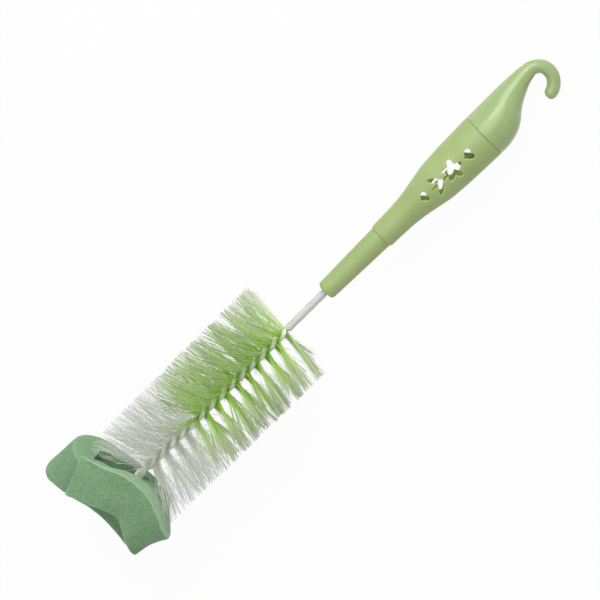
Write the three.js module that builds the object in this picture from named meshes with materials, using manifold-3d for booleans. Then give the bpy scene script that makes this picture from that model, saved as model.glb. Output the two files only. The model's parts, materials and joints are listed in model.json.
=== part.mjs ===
// Bottle brush: hooked hollow handle, turning stem, twisted-wire bristle head and folded foam strip.
// Millimetres, +Z up. The brush is drawn along X (hook at +X, foam at -X) and then laid on the table.
import * as THREE from 'three';
import { mergeVertices } from 'three/addons/utils/BufferGeometryUtils.js';
import Module from 'manifold-3d';

const wasm = await Module();
wasm.setup();

// Sleeve, the narrow end of the grip; its free end is at x = 0
const sleeveLength = 37.9;
const sleeveTipRadius = 4.9;
const sleeveTopRadius = 5.85;
const sleeveEdge = 1.5;

// Handle body
const handleLength = 67.9;
const handleNeckRadius = 6.5;
const handleEndRadius = 11.75;
const handleWall = 1.9;

// Pierced flower
const flowerReach = 4.25;
const petalDepth = 1.2;
const flowerStemDrop = 8;
const flowerStemLength = 12.06;
const flowerStemWidth = 1.6;
const leafDrop = 10;
const leafAside = 2.6;
const leafLength = 6.4;
const leafWidth = 2.6;
const leafTurn = 0.75;

// Swivel inside the handle
const journalRadius = 4.0;
const journalLength = 12;
const clipThickness = 1.4;
const clipReach = 1.3;
const clipDepth = 0.8;
const clipSlot = 2.2;

// Hook cap
const hookReach = 45.6;
const hookRodRadius = 3.25;
const spigotLength = 6.5;
const spigotWall = 1.9;
const capHollow = 13;
const capHollowTaper = 5;

// Stem, wires and bristles
const sheathLength = 26;
const sheathInset = 8;
const sheathRadius = 1.95;
const sheathWall = 0.42;
const twistPitch = 14;
const wireRadius = 0.5;
const wireOffset = 0.9;
const wireInset = 28;
const coatRadius = 0.85;
const coatRamp = 1.5;
const coreHalfDepth = 0.18;
const coreHalfWidth = 0.26;
const fibreRadius = 0.2;
const bristleRadius = 28.5;
const bristleStep = 0.6;
const firstLean = 0.11;
const lastLean = 0.21;
const greenLength = 63;
const whiteLength = 30.25;

// Foam strip
const foamWidth = 20.5;
const foamThickness = 9.8;
const foamSpread = 20.9;
const foldRoom = 3.3;
const foamGap = 10.2;
const wireInFoam = 12;

// Clearances
const seamGap = 0.3;
const runningGap = 0.3;
const pressGap = 0.25;
const coreGap = 0.1;

// Positions along the brush
const handleStart = sleeveLength + seamGap;
const handleEnd = handleStart + handleLength;
const capStart = handleEnd + seamGap;
const shoulder = handleStart + journalLength;
const greenStart = -sheathLength - 0.5;
const greenEnd = greenStart - greenLength;
const whiteStart = greenEnd - seamGap;
const whiteEnd = whiteStart - whiteLength;
const whiteTips = whiteEnd - bristleRadius * Math.tan(lastLean);
const foamTop = whiteTips - foamGap;
const foamMiddle = foamTop - foamWidth / 2;

// Materials
function plastic(colour, roughness) {
  return new THREE.MeshStandardMaterial({ color: colour, roughness, metalness: 0 });
}
const glossGreen = plastic(0x9bb978, 0.25);
const satinGreen = plastic(0xa5bb7d, 0.5);
const whitePlastic = plastic(0xe4e4e4, 0.45);
const greenFibre = plastic(0x8cc341, 0.55);
const whiteFibre = plastic(0xd8dcd4, 0.5);
const greenFoam = plastic(0x87aa87, 0.95);
const steel = new THREE.MeshStandardMaterial({ color: 0xb9bcc0, roughness: 0.3, metalness: 1 });

// Shared geometry helpers
function solid(geometry) {
  geometry.deleteAttribute('normal');
  geometry.deleteAttribute('uv');
  const merged = mergeVertices(geometry, 1e-4);
  const points = merged.attributes.position.array;
  const faces = [];
  let volume = 0;
  for (let i = 0; i < merged.index.count; i += 3) {
    const [a, b, c] = [0, 1, 2].map((k) => merged.index.getX(i + k));
    if (a === b || b === c || c === a) continue;
    faces.push([a, b, c]);
    const [p, q, r] = [a, b, c].map((k) => new THREE.Vector3().fromArray(points, 3 * k));
    volume += p.dot(q.cross(r));
  }
  const turnedFaces = volume < 0 ? faces.map(([a, b, c]) => [a, c, b]) : faces;
  return new wasm.Manifold(new wasm.Mesh({
    numProp: 3,
    vertProperties: Float32Array.from(points),
    triVerts: Uint32Array.from(turnedFaces.flat()),
  }));
}

function geometryOf(body) {
  const mesh = body.getMesh();
  const geometry = new THREE.BufferGeometry();
  geometry.setAttribute('position', new THREE.BufferAttribute(Float32Array.from(mesh.vertProperties), 3));
  geometry.setIndex(new THREE.BufferAttribute(Uint32Array.from(mesh.triVerts), 1));
  return geometry;
}

// A body turned about the X axis from [x, radius] pairs; a closed profile returns to its first pair
function turned(profile, sides) {
  const points = profile.map(([x, r]) => new THREE.Vector2(r, x));
  return solid(new THREE.LatheGeometry(points, sides).rotateZ(-Math.PI / 2));
}

// A body through a row of outlines with the same number of points
function loft(sections) {
  const count = sections[0].length;
  const points = sections.flat().flatMap((p) => [p.x, p.y, p.z]);
  const faces = [];
  for (let s = 0; s + 1 < sections.length; s += 1) {
    for (let k = 0; k < count; k += 1) {
      const a = s * count + k;
      const b = s * count + ((k + 1) % count);
      faces.push(a, b, b + count, a, b + count, a + count);
    }
  }
  const last = (sections.length - 1) * count;
  for (let k = 1; k + 1 < count; k += 1) {
    faces.push(0, k + 1, k, last, last + k, last + k + 1);
  }
  const geometry = new THREE.BufferGeometry();
  geometry.setAttribute('position', new THREE.Float32BufferAttribute(points, 3));
  geometry.setIndex(faces);
  return solid(geometry);
}

// An oval of points round a centre, with two half axes
function oval(centre, sideways, upward, count) {
  return Array.from({ length: count }, (unused, k) => {
    const angle = (2 * Math.PI * k) / count;
    return centre.clone()
      .addScaledVector(sideways, Math.cos(angle))
      .addScaledVector(upward, Math.sin(angle));
  });
}

// Handle body: flared tube with a bearing bore at the narrow end
function handleRadius(share) {
  const marks = [[0, 0], [0.1, 0.03], [0.19, 0.076], [0.27, 0.16], [0.34, 0.286], [0.44, 0.53],
    [0.54, 0.762], [0.63, 0.85], [0.72, 0.914], [0.86, 0.965], [1, 1]];
  let k = 1;
  while (k < marks.length - 1 && share > marks[k][0]) k += 1;
  const [[s0, v0], [s1, v1]] = [marks[k - 1], marks[k]];
  const value = v0 + ((v1 - v0) * (share - s0)) / (s1 - s0);
  return handleNeckRadius + (handleEndRadius - handleNeckRadius) * value;
}

function handleShell() {
  const outer = [];
  const inner = [];
  const room = journalRadius + clipReach + 0.4;
  const outerSteps = 14;
  const innerSteps = 8;
  for (let k = 0; k <= outerSteps; k += 1) {
    const share = k / outerSteps;
    outer.push([handleStart + handleLength * share, handleRadius(share)]);
  }
  for (let k = innerSteps; k >= 0; k -= 1) {
    const x = handleStart + (handleLength * k) / innerSteps;
    if (x > shoulder + 1) inner.push([x, Math.max(room, handleRadius(k / innerSteps) - handleWall)]);
  }
  const bore = journalRadius + runningGap;
  const profile = [...outer, ...inner, [shoulder, room], [shoulder, bore], [handleStart, bore], outer[0]];
  return turned(profile, 32);
}

// Pierced ornaments, cut straight through both walls along Z
const cutDepth = 3 * handleEndRadius;

function prism(points) {
  const shape = new THREE.Shape(points.map(([x, y]) => new THREE.Vector2(x, y)));
  const geometry = new THREE.ExtrudeGeometry(shape, { depth: cutDepth, bevelEnabled: false });
  return solid(geometry.translate(0, 0, -cutDepth / 2));
}

function ring(count, at) {
  return Array.from({ length: count }, (unused, k) => at((2 * Math.PI * k) / count));
}

function heartCut(x, width) {
  const scale = width / 32;
  return prism(ring(18, (t) => {
    const along = 13 * Math.cos(t) - 5 * Math.cos(2 * t) - 2 * Math.cos(3 * t) - Math.cos(4 * t);
    return [x + along * scale, 16 * Math.sin(t) ** 3 * scale];
  }));
}

function leafCut(x, y, long, wide, turn) {
  return prism(ring(12, (t) => {
    const a = (long / 2) * Math.cos(t);
    const b = (wide / 2) * Math.sin(t);
    return [x + a * Math.cos(turn) - b * Math.sin(turn), y + a * Math.sin(turn) + b * Math.cos(turn)];
  }));
}

function flowerCut(x) {
  let cut = prism(ring(30, (t) => {
    const reach = flowerReach + petalDepth * Math.cos(5 * t);
    return [x + reach * Math.cos(t), reach * Math.sin(t)];
  }));
  cut = cut.add(leafCut(x - flowerStemDrop, 0, flowerStemLength, flowerStemWidth, 0));
  for (const side of [-1, 1]) {
    cut = cut.add(leafCut(x - leafDrop, side * leafAside, leafLength, leafWidth, -side * leafTurn));
  }
  return cut;
}

const handleBody = handleShell()
  .subtract(heartCut(handleStart + 0.84 * handleLength, 5.8))
  .subtract(flowerCut(handleStart + 0.69 * handleLength))
  .subtract(heartCut(handleStart + 0.415 * handleLength, 5.2));

// Hook cap: a lofted body that narrows into a bent rod, with a hollow spigot.
// A row has x, y, the half width and the half depth. The body's rows stay square to X, the rod's follow the bend.
function capBody() {
  const k = hookReach / 45.6;
  const rod = hookRodRadius;
  const end = handleEndRadius;
  const bodyMarks = [
    [0, 0, end, end],
    [4.3, 0.05, end, end],
    [8.6, 0.4, 0.97 * end, 0.98 * end],
    [12.5, 1.05, 0.915 * end, 0.93 * end],
    [16.2, 2.1, 0.825 * end, 0.855 * end],
    [19, 3.3, 0.725 * end, 0.765 * end],
    [21.6, 4.3, 0.635 * end, 0.68 * end],
    [24.5, 5.2, 0.55 * end, 0.59 * end],
    [27.6, 5.95, 0.475 * end, 0.51 * end],
    [31.2, 6.7, 0.395 * end, 0.42 * end],
    [34.8, 7.0, 1.21 * rod, 1.24 * rod],
  ];
  const rodMarks = [
    [37.6, 6.8, 1.08 * rod, 1.1 * rod],
    [40.2, 5.3, rod, 1.02 * rod],
    [41.9, 3.0, rod, rod],
    [42.35, 0.2, rod, rod],
    [41.8, -2.7, rod, rod],
    [39.9, -5.4, rod, rod],
    [37.6, -7.1, rod, rod],
    [35.4, -7.8, 0.95 * rod, 0.95 * rod],
    [34.1, -8.0, 0.78 * rod, 0.78 * rod],
    [33.3, -8.05, 0.45 * rod, 0.45 * rod],
  ];
  const marks = [...bodyMarks, ...rodMarks];
  const spine = marks.map(([x, y]) => new THREE.Vector3(capStart + k * x, k * y, 0));
  const up = new THREE.Vector3(0, 0, 1);
  return loft(marks.map(([, , wide, deep], i) => {
    const after = spine[Math.min(i + 1, spine.length - 1)];
    const bend = after.clone().sub(spine[Math.max(i - 1, 0)]).normalize();
    const along = i < bodyMarks.length ? new THREE.Vector3(1, 0, 0) : bend;
    const sideways = up.clone().cross(along);
    return oval(spine[i], sideways.multiplyScalar(wide), up.clone().multiplyScalar(deep), 24);
  }));
}

const spigotShare = 1 - (spigotLength + 0.5) / handleLength;
const spigotRadius = handleRadius(spigotShare) - handleWall - pressGap;
const coreRadius = spigotRadius - spigotWall;
const spigotEnd = capStart - spigotLength;
const spigot = turned([[spigotEnd, 0], [spigotEnd, spigotRadius - 0.6], [spigotEnd + 0.8, spigotRadius],
  [capStart + 1, spigotRadius], [capStart + 1, 0]], 32);
const hollowEnd = capStart + capHollow;
const capCore = turned([[spigotEnd - 1, 0], [spigotEnd - 1, coreRadius],
  [hollowEnd - capHollowTaper, coreRadius], [hollowEnd, 0.6 * coreRadius], [hollowEnd, 0]], 24);
const hookCap = capBody().add(spigot).subtract(capCore);

// Stem sleeve: visible taper, bearing journal, clip groove and stepped bore for sheath and wires
const sheathBore = sheathRadius + pressGap;
const wireReach = wireOffset + wireRadius;
const wireBore = wireReach + pressGap;
const grooveRadius = journalRadius - clipDepth;
const clipStart = shoulder + seamGap;
const clipEnd = clipStart + clipThickness;
const journalEnd = clipEnd + 1.6;
const stemSleeve = turned([
  [0, sheathBore], [0, sleeveTipRadius - sleeveEdge],
  [0.12 * sleeveEdge, sleeveTipRadius - 0.5 * sleeveEdge],
  [0.45 * sleeveEdge, sleeveTipRadius - 0.13 * sleeveEdge],
  [sleeveEdge, sleeveTipRadius],
  [sleeveLength, sleeveTopRadius], [sleeveLength, journalRadius],
  [clipStart - 0.2, journalRadius], [clipStart - 0.2, grooveRadius],
  [clipEnd + 0.2, grooveRadius], [clipEnd + 0.2, journalRadius],
  [journalEnd - 0.5, journalRadius], [journalEnd, journalRadius - 0.6], [journalEnd, 0],
  [wireInset + 2, 0], [wireInset + 2, wireBore],
  [sheathInset + seamGap, wireBore], [sheathInset + seamGap, sheathBore], [0, sheathBore],
], 28);

// Retaining clip: an open spring ring in the groove
const clipInner = grooveRadius + runningGap;
const clipOuter = journalRadius + clipReach;
const clipGeometry = new THREE.BoxGeometry(3 * clipThickness, 2 * clipSlot, 2 * clipOuter);
const clipCut = solid(clipGeometry.translate((clipStart + clipEnd) / 2, 0, clipOuter));
const swivelClip = turned([[clipStart, clipInner], [clipStart, clipOuter], [clipEnd, clipOuter],
  [clipEnd, clipInner], [clipStart, clipInner]], 28).subtract(clipCut);

// Stem sheath: thin tube over the twisted wires
const sheathHole = sheathRadius - sheathWall;
const stemSheath = turned([[sheathInset, sheathHole], [sheathInset, sheathRadius],
  [-sheathLength, sheathRadius], [-sheathLength, sheathHole], [sheathInset, sheathHole]], 24);

// Twisted core: a left-handed turn about X
function twist(x) {
  return (-2 * Math.PI * x) / twistPitch;
}
function outward(x) {
  return new THREE.Vector3(0, Math.cos(twist(x)), Math.sin(twist(x)));
}
function sidelong(x) {
  return new THREE.Vector3(0, -Math.sin(twist(x)), Math.cos(twist(x)));
}
const twistStep = twistPitch / 8;

function stationsBetween(from, to) {
  const list = [from];
  for (let n = Math.ceil(from / twistStep) - 1; n * twistStep > to; n -= 1) {
    if (from - n * twistStep > 0.2 && n * twistStep - to > 0.2) list.push(n * twistStep);
  }
  list.push(to);
  return list;
}

// Wires: bare in the sleeve and the sheath, with a plastic coat from the first bristles on
const wireEnd = foamTop - wireInFoam;
const coatOffset = coreHalfWidth + coreGap + coatRadius;
const coatReach = coatOffset + coatRadius;

function wireStrand(side) {
  return loft(stationsBetween(wireInset, wireEnd).map((x) => {
    const coat = THREE.MathUtils.clamp((greenStart - x) / coatRamp, 0, 1);
    const radius = THREE.MathUtils.lerp(wireRadius, coatRadius, coat);
    const offset = THREE.MathUtils.lerp(wireOffset, coatOffset, coat);
    const centre = sidelong(x).multiplyScalar(side * offset);
    centre.x = x;
    const along = new THREE.Vector3(1, 0, 0);
    along.addScaledVector(outward(x), (side * offset * 2 * Math.PI) / twistPitch).normalize();
    const radial = sidelong(x);
    const across = along.clone().cross(radial);
    return oval(centre, radial.multiplyScalar(radius), across.multiplyScalar(radius), 6);
  }));
}

// Bristles: bent filaments through a thin core line between the two wires
function filament(x, lean, lengths) {
  const away = outward(x);
  const across = sidelong(x);
  const tips = [-1, 1].map((side, k) => {
    const tip = away.clone().multiplyScalar(side * lengths[k]);
    tip.x = x - lengths[k] * Math.tan(lean);
    return tip;
  });
  const along = new THREE.Vector3(1, 0, 0);
  const stations = [tips[0], new THREE.Vector3(x, 0, 0), tips[1]];
  return loft(stations.map((p) => (
    oval(p, along.clone().multiplyScalar(fibreRadius), across.clone().multiplyScalar(fibreRadius), 3)
  )));
}

function bristles(from, to) {
  const count = Math.floor((from - to - 0.8) / bristleStep);
  const roots = Array.from({ length: count + 1 }, (unused, k) => from - 0.4 - k * bristleStep);
  const breaks = [from, ...roots.slice(1).map((x) => x + bristleStep / 2), to];
  const core = loft(breaks.map((x) => [[1, 1], [-1, 1], [-1, -1], [1, -1]].map(([a, b]) => (
    new THREE.Vector3(x, 0, 0)
      .addScaledVector(outward(x), a * coreHalfDepth)
      .addScaledVector(sidelong(x), b * coreHalfWidth)
  ))));
  const filaments = roots.map((x, k) => {
    const lean = THREE.MathUtils.mapLinear(x, greenStart, whiteEnd, firstLean, lastLean);
    const lengths = [bristleRadius - 0.25 * ((3 * k) % 4), bristleRadius - 0.25 * ((3 * k + 2) % 4)];
    return filament(x, lean, lengths);
  });
  return wasm.Manifold.union([core, ...filaments]);
}

// Foam strip: one strip in three layers with a fold at each side; the middle layer sits on the wires.
// A row has y, z, the shift along X as a share of the width, the lean and the roll in degrees,
// and the share of the full width.
const foldRadius = foamThickness / 2 + foldRoom;

function foldRows(middleY, middleZ, side, rows) {
  return rows.map(([shift, lean, roll], k) => {
    const angle = (Math.PI * (k - 3)) / 6;
    const y = middleY + side * foldRadius * Math.cos(angle);
    return [y, middleZ + foldRadius * Math.sin(angle), shift, lean, roll, 1];
  });
}

function foamRows() {
  const rear = [[-0.6, -2.49, 0.2, 3], [-0.2, -2.5, 0.185, 1], [0.2, -2.5, 0.16, -1],
    [0.6, -2.5, 0.117, -5]];
  const middle = [[0.574, -0.28, -0.146, -12], [0.215, -0.073, -0.054, -6], [-0.048, 0.024, -0.02, -4],
    [-0.335, 0.085, -0.024, -5]];
  const front = [[-0.421, 2.159, 0.459, -13], [-0.12, 2.146, 0.488, -9], [0.215, 2.073, 0.38, -1, 0.99],
    [0.6, 1.951, 0.156, 8, 0.946], [1.067, 1.707, -0.166, 17, 0.868]];
  const layer = (rows) => rows.map(([y, z, shift, lean, share = 1]) => (
    [y * foamSpread, z * foldRadius, shift, lean, 0, share]
  ));
  const leftFold = foldRows(foamSpread, -1.488 * foldRadius, 1, [[0.049, -10, 0], [-0.024, -15, 0],
    [-0.112, -20, 0], [-0.195, -24, 0], [-0.254, -25, 0], [-0.273, -23, 0], [-0.244, -19, 0]]);
  const rightFold = foldRows(-0.689 * foamSpread, 1.122 * foldRadius, -1, [[-0.059, -8, 0], [-0.073, -9, 3],
    [-0.063, -10, 8], [-0.024, -11, 13], [0.059, -12, 17], [0.185, -13, 18], [0.332, -14, 14]]);
  return [...layer(rear), ...leftFold, ...layer(middle), ...rightFold, ...layer(front)];
}

function foamStrip() {
  const rows = foamRows();
  const spine = rows.map(([y, z, shift]) => new THREE.Vector3(foamMiddle + shift * foamWidth, y, z));
  const edge = 0.08 * foamThickness;
  const t = foamThickness / 2;
  return loft(rows.map(([, , , lean, roll, share], i) => {
    const before = spine[Math.max(i - 1, 0)];
    const after = spine[Math.min(i + 1, spine.length - 1)];
    const along = after.clone().sub(before).normalize();
    const wide = new THREE.Vector3(1, 0, 0)
      .applyAxisAngle(new THREE.Vector3(0, 0, 1), -THREE.MathUtils.degToRad(roll))
      .applyAxisAngle(new THREE.Vector3(0, 1, 0), THREE.MathUtils.degToRad(lean));
    wide.addScaledVector(along, -wide.dot(along)).normalize();
    const thick = wide.clone().cross(along);
    const w = (share * foamWidth) / 2;
    const outline = [[w, t - edge], [w - edge, t], [edge - w, t], [-w, t - edge],
      [-w, edge - t], [edge - w, -t], [w - edge, -t], [w, edge - t]];
    return outline.map(([a, b]) => spine[i].clone().addScaledVector(wide, a).addScaledVector(thick, b));
  }));
}
const foamBoreRadius = coatReach + pressGap;
const foamBore = turned([[wireEnd - 1.5, 0], [wireEnd - 1.5, foamBoreRadius], [whiteEnd, foamBoreRadius],
  [whiteEnd, 0]], 16);
const spongeStrip = foamStrip().subtract(foamBore);

// Named pieces
const pieces = [
  ['hook_cap', hookCap, glossGreen],
  ['handle_body', handleBody, satinGreen],
  ['stem_sleeve', stemSleeve, satinGreen],
  ['swivel_clip', swivelClip, steel],
  ['stem_sheath', stemSheath, whitePlastic],
  ['wire_strand_a', wireStrand(1), whitePlastic],
  ['wire_strand_b', wireStrand(-1), whitePlastic],
  ['green_bristles', bristles(greenStart, greenEnd), greenFibre],
  ['white_bristles', bristles(whiteStart, whiteEnd), whiteFibre],
  ['sponge_strip', spongeStrip, greenFoam],
].map(([name, body, material]) => {
  const mesh = new THREE.Mesh(geometryOf(body), material);
  mesh.name = name;
  return mesh;
});

// Laying down: tip the handle until it meets the table that the bristles rest on
function lowest(names, slope) {
  let least = Infinity;
  for (const mesh of pieces) {
    if (!names.includes(mesh.name)) continue;
    const at = mesh.geometry.attributes.position;
    for (let k = 0; k < at.count; k += 1) {
      least = Math.min(least, at.getZ(k) * Math.cos(slope) - at.getX(k) * Math.sin(slope));
    }
  }
  return least;
}
let slopeLow = 0;
let slopeHigh = 0.3;
for (let k = 0; k < 40; k += 1) {
  const slope = (slopeLow + slopeHigh) / 2;
  const handleLower = lowest(['hook_cap', 'handle_body', 'stem_sleeve'], slope)
    < lowest(['green_bristles', 'white_bristles', 'sponge_strip'], slope);
  if (handleLower) slopeHigh = slope;
  else slopeLow = slope;
}
const laid = new THREE.Matrix4().makeRotationY((slopeLow + slopeHigh) / 2);
const box = new THREE.Box3();
for (const mesh of pieces) {
  mesh.geometry.applyMatrix4(laid);
  mesh.geometry.computeBoundingBox();
  box.union(mesh.geometry.boundingBox);
}
const middle = box.getCenter(new THREE.Vector3());

const brush = new THREE.Group();
brush.name = 'bottle_brush';
for (const mesh of pieces) {
  mesh.geometry.translate(-middle.x, -middle.y, -box.min.z);
  mesh.geometry.computeVertexNormals();
  brush.add(mesh);
}

export default brush;
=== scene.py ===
import json
import math
import random

import bmesh
import bpy
from mathutils import Matrix, Vector, noise


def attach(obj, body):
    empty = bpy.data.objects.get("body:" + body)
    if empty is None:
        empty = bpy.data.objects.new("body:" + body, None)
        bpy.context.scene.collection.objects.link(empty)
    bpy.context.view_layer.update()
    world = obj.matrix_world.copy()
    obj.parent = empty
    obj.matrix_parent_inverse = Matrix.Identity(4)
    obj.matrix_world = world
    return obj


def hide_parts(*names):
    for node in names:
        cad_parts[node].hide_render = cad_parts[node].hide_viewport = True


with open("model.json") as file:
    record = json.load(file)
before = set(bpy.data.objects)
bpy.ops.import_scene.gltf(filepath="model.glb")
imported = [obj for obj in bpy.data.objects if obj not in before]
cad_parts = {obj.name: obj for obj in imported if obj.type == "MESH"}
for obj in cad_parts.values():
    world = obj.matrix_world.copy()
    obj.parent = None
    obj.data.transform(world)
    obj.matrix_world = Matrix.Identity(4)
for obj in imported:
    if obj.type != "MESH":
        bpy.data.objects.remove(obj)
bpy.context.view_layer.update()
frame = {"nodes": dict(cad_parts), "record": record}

MM = 0.001

# Brush axes in the row frame, from the swivel joint: x to the hook, y away from its mouth, z up
SWIVEL_X = 44.0
swivel = frame["record"]["behaviour"]["joints"][0]
brush_x = Vector(swivel["axis"]).normalized()
brush_y = Vector((0.0, 1.0, 0.0))
brush_z = brush_x.cross(brush_y)
sleeve_end = Vector(swivel["pos_m"]) - brush_x * SWIVEL_X * MM

# Clearances in millimetres, as in the part's source
SEAM_GAP = 0.3
RUNNING_GAP = 0.3
PRESS_GAP = 0.25
CORE_GAP = 0.1

# Sleeve, handle and swivel in millimetres, as in the part's source
SLEEVE_LENGTH = 37.9
SLEEVE_TIP_RADIUS = 4.9
SLEEVE_TOP_RADIUS = 5.85
SLEEVE_EDGE = 1.5
HANDLE_LENGTH = 67.9
HANDLE_NECK_RADIUS = 6.5
HANDLE_END_RADIUS = 11.75
HANDLE_WALL = 1.9
JOURNAL_RADIUS = 4.0
JOURNAL_LENGTH = 12.0
JOURNAL_LIP = 1.6
BEARING_RADIUS = JOURNAL_RADIUS + RUNNING_GAP
CLIP_THICKNESS = 1.4
CLIP_DEPTH = 0.8
CLIP_REACH = 1.3
CLIP_ROOM = 0.4
CLIP_ROOM_RADIUS = JOURNAL_RADIUS + CLIP_REACH + CLIP_ROOM
GROOVE_RADIUS = JOURNAL_RADIUS - CLIP_DEPTH

# Hook cap in millimetres
SPIGOT_RADIUS = 9.46
SPIGOT_LENGTH = 6.5
SPIGOT_WALL = 1.9
CAP_CORE_RADIUS = SPIGOT_RADIUS - SPIGOT_WALL
CAP_HOLLOW = 13.0
CAP_HOLLOW_TAPER = 5.0
ROD_RADIUS = 3.25

# Stem, wires and bristles in millimetres
SHEATH_LENGTH = 26.0
SHEATH_INSET = 8.0
SHEATH_RADIUS = 1.95
SHEATH_WALL = 0.42
SHEATH_BORE = SHEATH_RADIUS + PRESS_GAP
SHEATH_TO_BRISTLES = 0.5
WIRE_INSET = 28.0
WIRE_RADIUS = 0.5
WIRE_OFFSET = 0.9
WIRE_BORE = WIRE_OFFSET + WIRE_RADIUS + PRESS_GAP
CORE_HALF_WIDTH = 0.26
COAT_RADIUS = 0.85
COAT_OFFSET = CORE_HALF_WIDTH + CORE_GAP + COAT_RADIUS
COAT_RAMP = 1.5
TWIST_PITCH = 14.0
GREEN_LENGTH = 63.0
WHITE_LENGTH = 30.25
BRISTLE_RADIUS = 28.5

# Foam strip in millimetres, with its gap measured from the end of the white zone
FOAM_GAP = 16.27
FOAM_WIDTH = 20.5
FOAM_THICKNESS = 9.8
FOAM_SPREAD = 20.9
FOLD_ROOM = 3.3
FOLD_RADIUS = FOAM_THICKNESS / 2 + FOLD_ROOM
WIRE_IN_FOAM = 12.0

# Places along the brush, from the sleeve's free end
HANDLE_START = SLEEVE_LENGTH + SEAM_GAP
HANDLE_END = HANDLE_START + HANDLE_LENGTH
CAP_START = HANDLE_END + SEAM_GAP
SHOULDER = HANDLE_START + JOURNAL_LENGTH
CLIP_START = SHOULDER + SEAM_GAP
CLIP_END = CLIP_START + CLIP_THICKNESS
JOURNAL_END = CLIP_END + JOURNAL_LIP
GREEN_START = -SHEATH_LENGTH - SHEATH_TO_BRISTLES
GREEN_END = GREEN_START - GREEN_LENGTH
WHITE_START = GREEN_END - SEAM_GAP
WHITE_END = WHITE_START - WHITE_LENGTH
FOAM_TOP = WHITE_END - FOAM_GAP
FOAM_MIDDLE = FOAM_TOP - FOAM_WIDTH / 2
WIRE_END = FOAM_TOP - WIRE_IN_FOAM

# Seen from outside, the two seams of the grip are finer than the room that the solids keep
SEAM_FILL = 0.105


# Shared mesh helpers

# Edges that turn by more degrees than this stay sharp
SHARP_ANGLE = 38.0


def place(x, y, z):
    """A point of the brush, in millimetres from the sleeve's free end, in the row frame."""
    return sleeve_end + (brush_x * x + brush_y * y + brush_z * z) * MM


def between(rows, steps):
    """Rows of numbers, with a smooth curve of further rows between each two."""
    filled = []
    last = len(rows) - 1
    for k in range(last):
        before, start = rows[max(k - 1, 0)], rows[k]
        end, after = rows[k + 1], rows[min(k + 2, last)]
        for step in range(steps):
            t = step / steps
            row = []
            for a, b, c, d in zip(before, start, end, after):
                bend = t * (2 * a - 5 * b + 4 * c - d + t * (3 * b - a - 3 * c + d))
                row.append(b + 0.5 * t * (c - a + bend))
            filled.append(row)
    filled.append(list(rows[last]))
    return filled


def clamped(value):
    """The value, held between 0 and 1."""
    return min(max(value, 0.0), 1.0)


def full_turn(count):
    """Angles round a full turn, in equal steps."""
    return [2 * math.pi * k / count for k in range(count)]


def oval(centre, sideways, upward, count):
    """A ring of points round a centre, with two half axes."""
    return [centre + sideways * math.cos(t) + upward * math.sin(t) for t in full_turn(count)]


def circle(x, radius, count):
    """A ring round the brush's axis."""
    return oval(Vector((x, 0, 0)), Vector((0, radius, 0)), Vector((0, 0, radius)), count)


def bevel(end, radius, side, pairs):
    """Points of a broken edge: a pair says how far each lies from the end and below the radius."""
    return [(end + side * back, radius - below) for back, below in pairs]


def band(a, b, count):
    """Faces between two rings of points that start at a and b."""
    faces = []
    for i in range(count):
        j = (i + 1) % count
        faces.append((a + i, a + j, b + j, b + i))
    return faces


def skin(rings, loop=False):
    """Points and faces through a row of rings: closed at both ends, or back to the first ring."""
    count = len(rings[0])
    points = [p for ring in rings for p in ring]
    faces = []
    for k in range(len(rings) if loop else len(rings) - 1):
        faces += band(k * count, ((k + 1) % len(rings)) * count, count)
    if not loop:
        for first, ring in ((0, rings[0]), (len(points) - count, rings[-1])):
            centre = len(points)
            points.append(sum(ring, Vector()) / count)
            for i in range(count):
                faces.append((first + i, first + (i + 1) % count, centre))
    return points, faces


def add_mesh(name, points, faces):
    data = bpy.data.meshes.new(name)
    data.from_pydata([place(*p) for p in points], [], faces)
    shape = bmesh.new()
    shape.from_mesh(data)
    bmesh.ops.recalc_face_normals(shape, faces=shape.faces)
    shape.to_mesh(data)
    shape.free()
    piece = bpy.data.objects.new(name, data)
    bpy.context.collection.objects.link(piece)
    return piece


def mark(piece, name, domain, values):
    """Keeps one number for each point or face, for the finish to use."""
    piece.data.attributes.new(name, "FLOAT", domain).data.foreach_set("value", values)


def dress(piece, body, nodes, material, sharp=SHARP_ANGLE):
    """Shading, finish, body and the CAD nodes that the piece stands for."""
    piece.data.shade_smooth()
    piece.data.set_sharp_from_angle(angle=math.radians(sharp))
    piece.data.materials.clear()
    piece.data.materials.append(material)
    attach(piece, body)
    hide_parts(*nodes)
    return piece


# Materials

# Most values of a noise texture lie between these two
NOISE_LOW = 0.3
NOISE_HIGH = 0.7


def colour(code):
    """Linear colour of an sRGB hex code."""
    parts = [int(code[k:k + 2], 16) / 255 for k in (0, 2, 4)]
    return [c / 12.92 if c <= 0.04045 else ((c + 0.055) / 1.055) ** 2.4 for c in parts] + [1.0]


def mix_shaders(tree, share, first, second):
    """Two shaders mixed, where the share of the second is a number or a node's output."""
    made = tree.nodes.new("ShaderNodeMixShader")
    if isinstance(share, float):
        made.inputs["Fac"].default_value = share
    else:
        tree.links.new(share, made.inputs["Fac"])
    tree.links.new(first, made.inputs[1])
    tree.links.new(second, made.inputs[2])
    return made.outputs["Shader"]


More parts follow.
